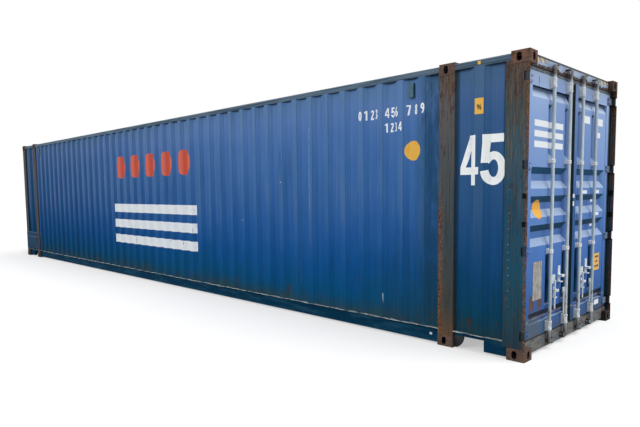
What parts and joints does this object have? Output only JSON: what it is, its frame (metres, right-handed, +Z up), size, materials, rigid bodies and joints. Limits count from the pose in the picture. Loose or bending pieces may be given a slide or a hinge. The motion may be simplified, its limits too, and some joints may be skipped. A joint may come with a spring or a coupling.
{
  "type": "shipping container, 45 ft high-cube box",
  "caption": "Long steel box container with corrugated walls, inner lifting frames and hinged double doors with locking bars.",
  "frame": {"origin": "middle of the base, level with the undersides of the bottom castings", "axes": "+X towards the doors, +Y to the right side seen from outside the doors looking at them (the left leaf is at -Y), +Z up"},
  "size_m": [13.716, 2.438, 2.896],
  "materials": {
    "rusted_cast_steel": "dark paint gone to rust",
    "weathered_blue_paint": "weathered blue paint with rust spots",
    "rusted_blue_paint": "dark blue paint half gone to rust",
    "blue_wall_paint": "faded blue container paint",
    "roof_paint": "chalky blue paint",
    "dark_underframe_paint": "dark bitumen-like underframe paint",
    "plywood_floor": "worn plywood",
    "galvanised_bar": "dull zinc under worn paint",
    "seal_rubber": "black rubber",
    "vent_plastic": "painted plastic",
    "worn_plate": "stained bare plate"
  },
  "bodies": {
    "container": {"corner_castings": "rusted_cast_steel", "mid_castings": "rusted_cast_steel", "door_corner_posts": "weathered_blue_paint", "mid_posts": "rusted_blue_paint", "front_corner_posts": "rusted_blue_paint", "top_side_rails": "weathered_blue_paint", "bottom_side_rails": "weathered_blue_paint", "bay_bottom_rails": "weathered_blue_paint", "gusset_plates": "dark_underframe_paint", "left_side_wall": "blue_wall_paint", "right_side_wall": "blue_wall_paint", "bay_side_panels": "blue_wall_paint", "front_bay_plates": "weathered_blue_paint", "front_wall": "blue_wall_paint", "front_header": "rusted_blue_paint", "front_sill": "rusted_blue_paint", "roof_sheet": "roof_paint", "door_header": "rusted_blue_paint", "door_sill": "rusted_blue_paint", "floor_cross_members": "dark_underframe_paint", "floor_deck": "plywood_floor", "hinge_lugs": "weathered_blue_paint", "bar_keepers": "weathered_blue_paint", "side_vents": "vent_plastic"},
    "left_door": {"left_door_frame": "blue_wall_paint", "left_door_panel": "blue_wall_paint", "left_door_seal": "seal_rubber", "left_door_hinge_blades": "weathered_blue_paint", "left_door_bar_brackets": "weathered_blue_paint", "left_door_handle_catches": "weathered_blue_paint", "data_plate": "worn_plate"},
    "right_door": {"right_door_frame": "blue_wall_paint", "right_door_panel": "blue_wall_paint", "right_door_seal": "seal_rubber", "right_door_hinge_blades": "weathered_blue_paint", "right_door_bar_brackets": "weathered_blue_paint", "right_door_handle_catches": "weathered_blue_paint"},
    "bar_1": {"locking_bar_1": "galvanised_bar"},
    "grip_1": {"handle_1": "galvanised_bar"},
    "bar_2": {"locking_bar_2": "galvanised_bar"},
    "grip_2": {"handle_2": "galvanised_bar"},
    "bar_3": {"locking_bar_3": "galvanised_bar"},
    "grip_3": {"handle_3": "galvanised_bar"},
    "bar_4": {"locking_bar_4": "galvanised_bar"},
    "grip_4": {"handle_4": "galvanised_bar"}
  },
  "joints": [
    {"name": "left_door_hinge", "type": "hinge", "parent": "container", "child": "left_door", "pos_m": [6.836, -1.199, 0], "axis": [0, 0, -1], "range_deg": [0, 265]},
    {"name": "right_door_hinge", "type": "hinge", "parent": "container", "child": "right_door", "pos_m": [6.836, 1.199, 0], "axis": [0, 0, 1], "range_deg": [0, 265]},
    {"name": "bar_1_turn", "type": "hinge", "parent": "left_door", "child": "bar_1", "pos_m": [6.834, -0.597, 0], "axis": [0, 0, 1], "range_deg": [-110, 0]},
    {"name": "handle_1_lift", "type": "hinge", "parent": "bar_1", "child": "grip_1", "pos_m": [6.834, -0.512, 0.69], "axis": [-1, 0, 0], "range_deg": [-90, 0]},
    {"name": "bar_2_turn", "type": "hinge", "parent": "left_door", "child": "bar_2", "pos_m": [6.834, -0.181, 0], "axis": [0, 0, -1], "range_deg": [-110, 0]},
    {"name": "handle_2_lift", "type": "hinge", "parent": "bar_2", "child": "grip_2", "pos_m": [6.834, -0.241, 0.545], "axis": [1, 0, 0], "range_deg": [-90, 0]},
    {"name": "bar_3_turn", "type": "hinge", "parent": "right_door", "child": "bar_3", "pos_m": [6.834, 0.181, 0], "axis": [0, 0, 1], "range_deg": [-110, 0]},
    {"name": "handle_3_lift", "type": "hinge", "parent": "bar_3", "child": "grip_3", "pos_m": [6.834, 0.266, 0.69], "axis": [-1, 0, 0], "range_deg": [-90, 0]},
    {"name": "bar_4_turn", "type": "hinge", "parent": "right_door", "child": "bar_4", "pos_m": [6.834, 0.597, 0], "axis": [0, 0, -1], "range_deg": [-110, 0]},
    {"name": "handle_4_lift", "type": "hinge", "parent": "bar_4", "child": "grip_4", "pos_m": [6.834, 0.537, 0.545], "axis": [1, 0, 0], "range_deg": [-90, 0]}
  ]
}
